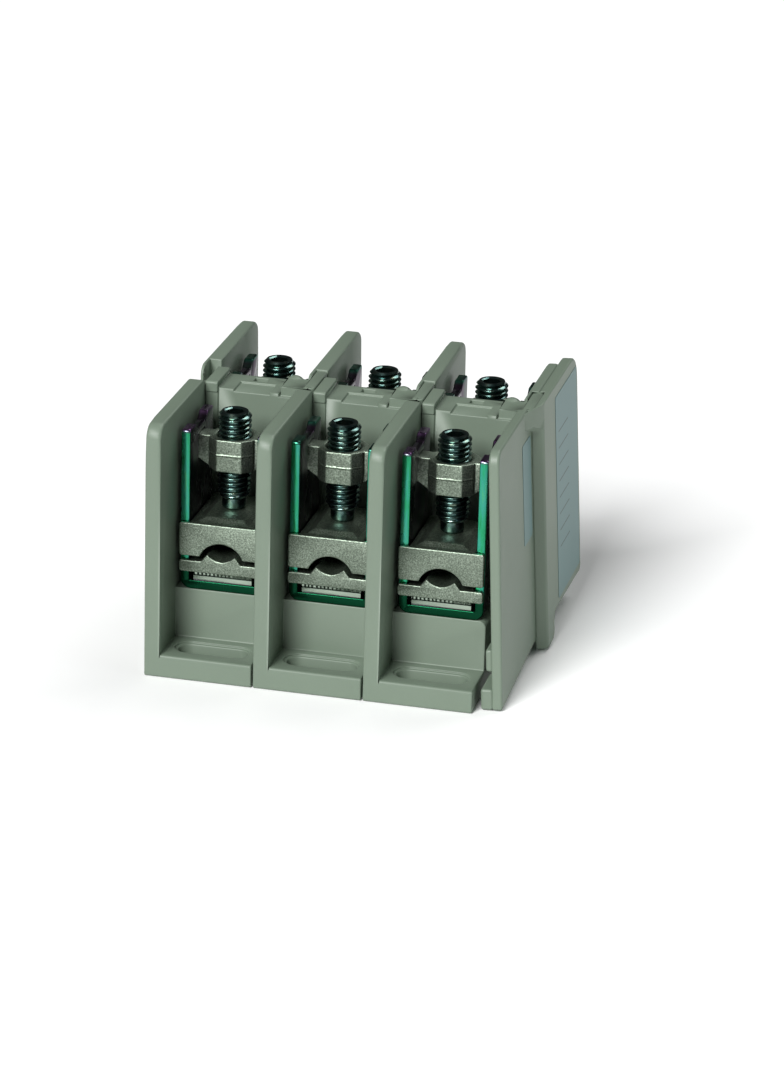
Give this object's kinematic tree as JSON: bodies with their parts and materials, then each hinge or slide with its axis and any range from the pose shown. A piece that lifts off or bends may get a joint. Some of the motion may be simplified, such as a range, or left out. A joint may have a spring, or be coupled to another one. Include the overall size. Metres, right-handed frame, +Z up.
{
  "type": "terminal strip",
  "caption": "Feed-through power terminal block: moulded poles clipped in a row, each with a current bar and a screw-driven prism clamp at front and back, closed by an end plate.",
  "frame": {"origin": "on the mounting surface, in the middle of the row of poles from left to right and from front to back", "axes": "+X along the row towards the end plate, +Y from front to back, +Z up away from the mounting surface"},
  "size_m": [0.1102, 0.1076, 0.078],
  "materials": {
    "housing_moulding": "fine moulded surface, pebble grey",
    "end_plate_moulding": "fine moulded surface, pebble grey",
    "passivated_steel": "zinc plated with an iridescent green and purple passivation",
    "sintered_steel": "matte sintered steel, nickel plated",
    "screw_steel": "dark blue-green zinc plating",
    "plated_copper": "tin plated"
  },
  "bodies": {
    "base": {"housing_1": "housing_moulding", "housing_2": "housing_moulding", "housing_3": "housing_moulding", "end_plate": "end_plate_moulding", "current_bar_1": "plated_copper", "current_bar_2": "plated_copper", "current_bar_3": "plated_copper", "strap_front_1": "passivated_steel", "nut_bridge_front_1": "sintered_steel", "saddle_prism_front_1": "sintered_steel", "strap_rear_1": "passivated_steel", "nut_bridge_rear_1": "sintered_steel", "saddle_prism_rear_1": "sintered_steel", "strap_front_2": "passivated_steel", "nut_bridge_front_2": "sintered_steel", "saddle_prism_front_2": "sintered_steel", "strap_rear_2": "passivated_steel", "nut_bridge_rear_2": "sintered_steel", "saddle_prism_rear_2": "sintered_steel", "strap_front_3": "passivated_steel", "nut_bridge_front_3": "sintered_steel", "saddle_prism_front_3": "sintered_steel", "strap_rear_3": "passivated_steel", "nut_bridge_rear_3": "sintered_steel", "saddle_prism_rear_3": "sintered_steel"},
    "prism_front_1": {"pressure_prism_front_1": "sintered_steel"},
    "screw_front_1": {"clamp_screw_front_1": "screw_steel"},
    "prism_rear_1": {"pressure_prism_rear_1": "sintered_steel"},
    "screw_rear_1": {"clamp_screw_rear_1": "screw_steel"},
    "prism_front_2": {"pressure_prism_front_2": "sintered_steel"},
    "screw_front_2": {"clamp_screw_front_2": "screw_steel"},
    "prism_rear_2": {"pressure_prism_rear_2": "sintered_steel"},
    "screw_rear_2": {"clamp_screw_rear_2": "screw_steel"},
    "prism_front_3": {"pressure_prism_front_3": "sintered_steel"},
    "screw_front_3": {"clamp_screw_front_3": "screw_steel"},
    "prism_rear_3": {"pressure_prism_rear_3": "sintered_steel"},
    "screw_rear_3": {"clamp_screw_rear_3": "screw_steel"}
  },
  "joints": [
    {"name": "prism_lift_front_1", "type": "slide", "parent": "base", "child": "prism_front_1", "axis": [0, 0, 1], "range_m": [-0.0009, 0.0124]},
    {"name": "screw_turn_front_1", "type": "hinge", "parent": "prism_front_1", "child": "screw_front_1", "pos_m": [-0.0307, -0.0251, 0.0448], "axis": [0, 0, 1], "range_deg": [-217, 2977]},
    {"name": "prism_lift_rear_1", "type": "slide", "parent": "base", "child": "prism_rear_1", "axis": [0, 0, 1], "range_m": [-0.0009, 0.0124]},
    {"name": "screw_turn_rear_1", "type": "hinge", "parent": "prism_rear_1", "child": "screw_rear_1", "pos_m": [-0.0307, 0.0251, 0.0448], "axis": [0, 0, 1], "range_deg": [-217, 2977]},
    {"name": "prism_lift_front_2", "type": "slide", "parent": "base", "child": "prism_front_2", "axis": [0, 0, 1], "range_m": [-0.0009, 0.0124]},
    {"name": "screw_turn_front_2", "type": "hinge", "parent": "prism_front_2", "child": "screw_front_2", "pos_m": [0.0023, -0.0251, 0.0448], "axis": [0, 0, 1], "range_deg": [-217, 2977]},
    {"name": "prism_lift_rear_2", "type": "slide", "parent": "base", "child": "prism_rear_2", "axis": [0, 0, 1], "range_m": [-0.0009, 0.0124]},
    {"name": "screw_turn_rear_2", "type": "hinge", "parent": "prism_rear_2", "child": "screw_rear_2", "pos_m": [0.0023, 0.0251, 0.0448], "axis": [0, 0, 1], "range_deg": [-217, 2977]},
    {"name": "prism_lift_front_3", "type": "slide", "parent": "base", "child": "prism_front_3", "axis": [0, 0, 1], "range_m": [-0.0009, 0.0124]},
    {"name": "screw_turn_front_3", "type": "hinge", "parent": "prism_front_3", "child": "screw_front_3", "pos_m": [0.0353, -0.0251, 0.0448], "axis": [0, 0, 1], "range_deg": [-217, 2977]},
    {"name": "prism_lift_rear_3", "type": "slide", "parent": "base", "child": "prism_rear_3", "axis": [0, 0, 1], "range_m": [-0.0009, 0.0124]},
    {"name": "screw_turn_rear_3", "type": "hinge", "parent": "prism_rear_3", "child": "screw_rear_3", "pos_m": [0.0353, 0.0251, 0.0448], "axis": [0, 0, 1], "range_deg": [-217, 2977]}
  ],
  "couplings": [
    {"joint": "screw_turn_front_1", "follows": "prism_lift_front_1", "rad_per_m": 4188.8},
    {"joint": "screw_turn_rear_1", "follows": "prism_lift_rear_1", "rad_per_m": 4188.8},
    {"joint": "screw_turn_front_2", "follows": "prism_lift_front_2", "rad_per_m": 4188.8},
    {"joint": "screw_turn_rear_2", "follows": "prism_lift_rear_2", "rad_per_m": 4188.8},
    {"joint": "screw_turn_front_3", "follows": "prism_lift_front_3", "rad_per_m": 4188.8},
    {"joint": "screw_turn_rear_3", "follows": "prism_lift_rear_3", "rad_per_m": 4188.8}
  ]
}
